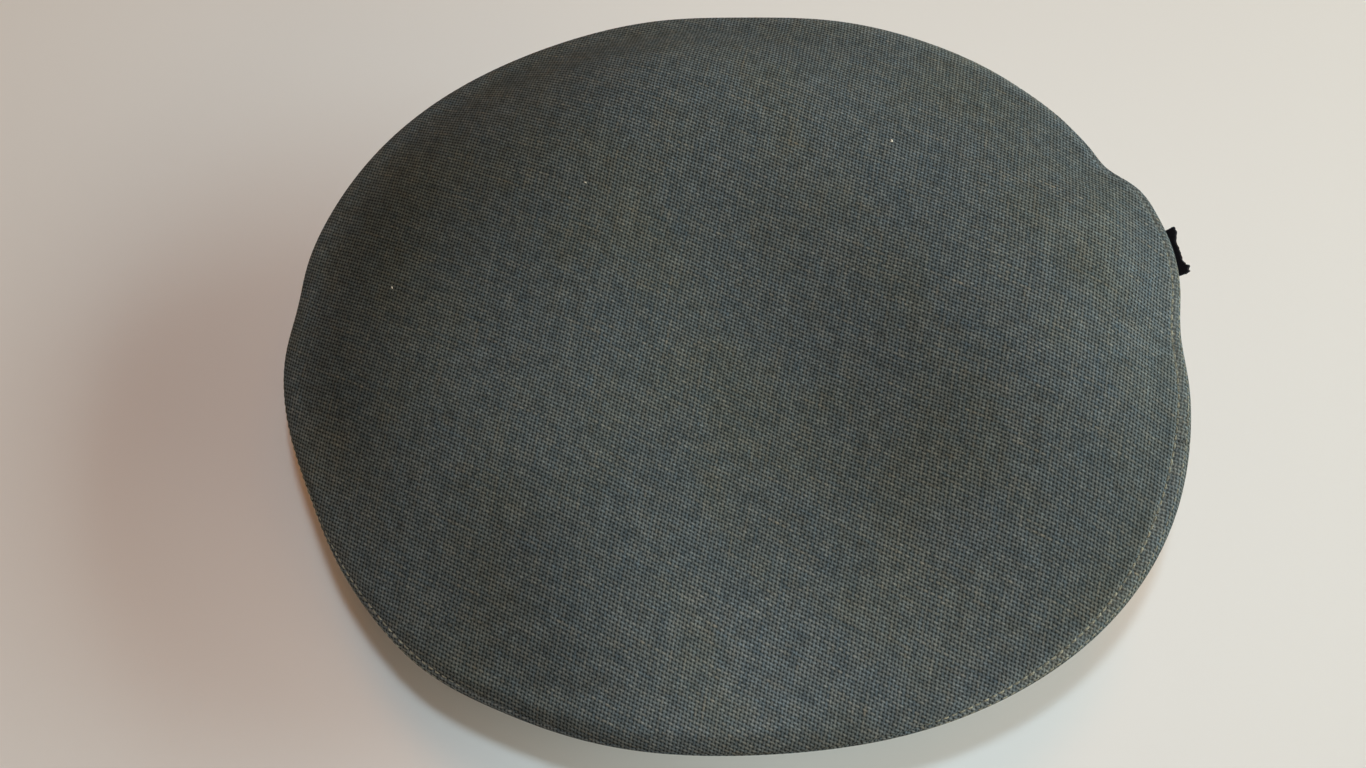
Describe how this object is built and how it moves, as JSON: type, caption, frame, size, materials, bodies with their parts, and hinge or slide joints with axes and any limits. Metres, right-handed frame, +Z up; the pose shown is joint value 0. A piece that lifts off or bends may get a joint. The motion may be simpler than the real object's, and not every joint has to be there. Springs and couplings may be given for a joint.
{
  "type": "peaked cap",
  "caption": "Soft peaked cap of coarse canvas: wide oval crown with a stitched rim, flared side panels, upright band, short leather peak and small felt badge.",
  "frame": {"origin": "middle of the cap's box in plan, on the surface that it rests on", "axes": "+X to the front of the cap, over the peak; +Y to the wearer's left; +Z up"},
  "size_m": [0.2872, 0.2522, 0.1178],
  "materials": {
    "canvas": "coarse plain-woven canvas, grey-green with bluish and brownish yarns, matt",
    "leather": "smooth black leather, slightly worn, satin",
    "felt": "black felt with cut edges, matt"
  },
  "bodies": {
    "root": {"crown_top": "canvas", "quarter_front": "canvas", "quarter_left": "canvas", "quarter_back": "canvas", "quarter_right": "canvas", "band": "canvas", "peak": "leather", "badge": "felt"}
  },
  "joints": []
}
